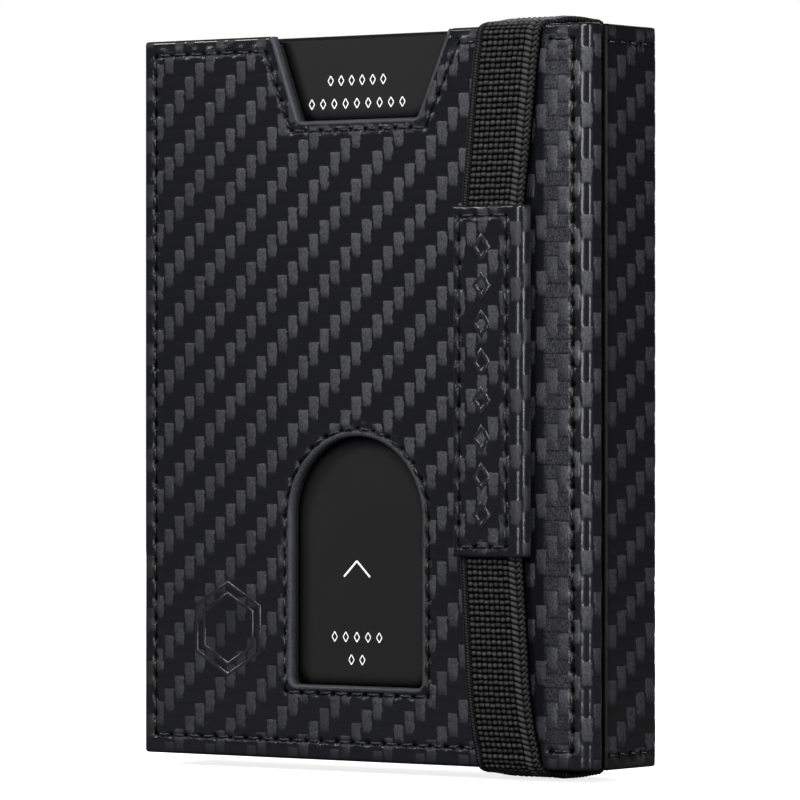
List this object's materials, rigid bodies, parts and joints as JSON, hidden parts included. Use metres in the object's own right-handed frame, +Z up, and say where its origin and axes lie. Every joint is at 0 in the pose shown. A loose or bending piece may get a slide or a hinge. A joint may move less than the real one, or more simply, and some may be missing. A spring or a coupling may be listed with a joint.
{
  "type": "minimalist wallet",
  "caption": "Stiff book-style card wallet with a thumb window, a top card notch, a coin compartment with a snap flap and an elastic band with a leather pull tab.",
  "frame": {"origin": "centre of the flat back face of the closed wallet", "axes": "+Z up the wallet's height, +Y out of the back face (the front cover faces -Y), +X towards the opening edge, away from the spine"},
  "size_m": [0.0732, 0.0198, 0.0988],
  "materials": {
    "carbon_leather": "embossed twill, satin",
    "lining_fabric": "fine plain weave",
    "board": "matte",
    "foil": "satin",
    "card": "matte print",
    "thread": "twisted thread",
    "elastic": "ribbed weave",
    "stud_metal": "black nickel"
  },
  "bodies": {
    "back_unit": {"back_cover": "carbon_leather", "back_board": "board", "back_rfid_foil": "foil", "back_lining": "lining_fabric", "card_bay_frame": "board", "note_divider": "lining_fabric", "bay_divider": "lining_fabric", "coin_frame": "carbon_leather", "side_board": "board", "bottom_edge_strip": "carbon_leather", "top_edge_strip": "carbon_leather", "flap_strip": "carbon_leather", "stud_post": "stud_metal", "back_stitching": "thread", "side_stitching": "thread"},
    "spine": {"spine_leather": "carbon_leather", "spine_lining": "lining_fabric"},
    "front_cover": {"front_leather": "carbon_leather", "front_board": "board", "pocket_spacer": "board", "pocket_back_sheet": "board", "cover_rfid_foil": "foil", "cover_lining": "lining_fabric", "front_perimeter_stitching": "thread", "edge_stitching": "thread", "notch_stitching": "thread", "arch_stitching": "thread"},
    "insert_card": {"insert_card": "card"},
    "closure_band": {"elastic_band": "elastic", "pull_tab": "carbon_leather", "tab_stitching": "thread"},
    "coin_flap": {"coin_flap_leather": "carbon_leather", "stud_cap": "stud_metal", "stud_socket": "stud_metal", "flap_stitching": "thread"}
  },
  "joints": [
    {"name": "spine_fold", "type": "hinge", "parent": "back_unit", "child": "spine", "pos_m": [-0.03605, -0.00045, 0], "axis": [0, 0, -1], "range_deg": [0, 90]},
    {"name": "cover_fold", "type": "hinge", "parent": "spine", "child": "front_cover", "pos_m": [-0.03605, -0.01515, 0], "axis": [0, 0, -1], "range_deg": [0, 90]},
    {"name": "band_release", "type": "slide", "parent": "back_unit", "child": "closure_band", "axis": [1, 0, 0], "range_m": [0, 0.026], "deforming": ["elastic_band"]},
    {"name": "coin_flap_hinge", "type": "hinge", "parent": "back_unit", "child": "coin_flap", "pos_m": [-0.0331, -0.01097, 0], "axis": [0, 0, -1], "range_deg": [0, 122]},
    {"name": "card_slide", "type": "slide", "parent": "front_cover", "child": "insert_card", "axis": [0, 0, 1], "range_m": [0, 0.08]}
  ],
  "couplings": [
    {"joint": "cover_fold", "follows": "spine_fold", "ratio": 1},
    {"joint": "band_release", "follows": "spine_fold", "m_per_rad": 0.016552},
    {"joint": "coin_flap_hinge", "follows": "spine_fold", "ratio": 1.3556}
  ]
}
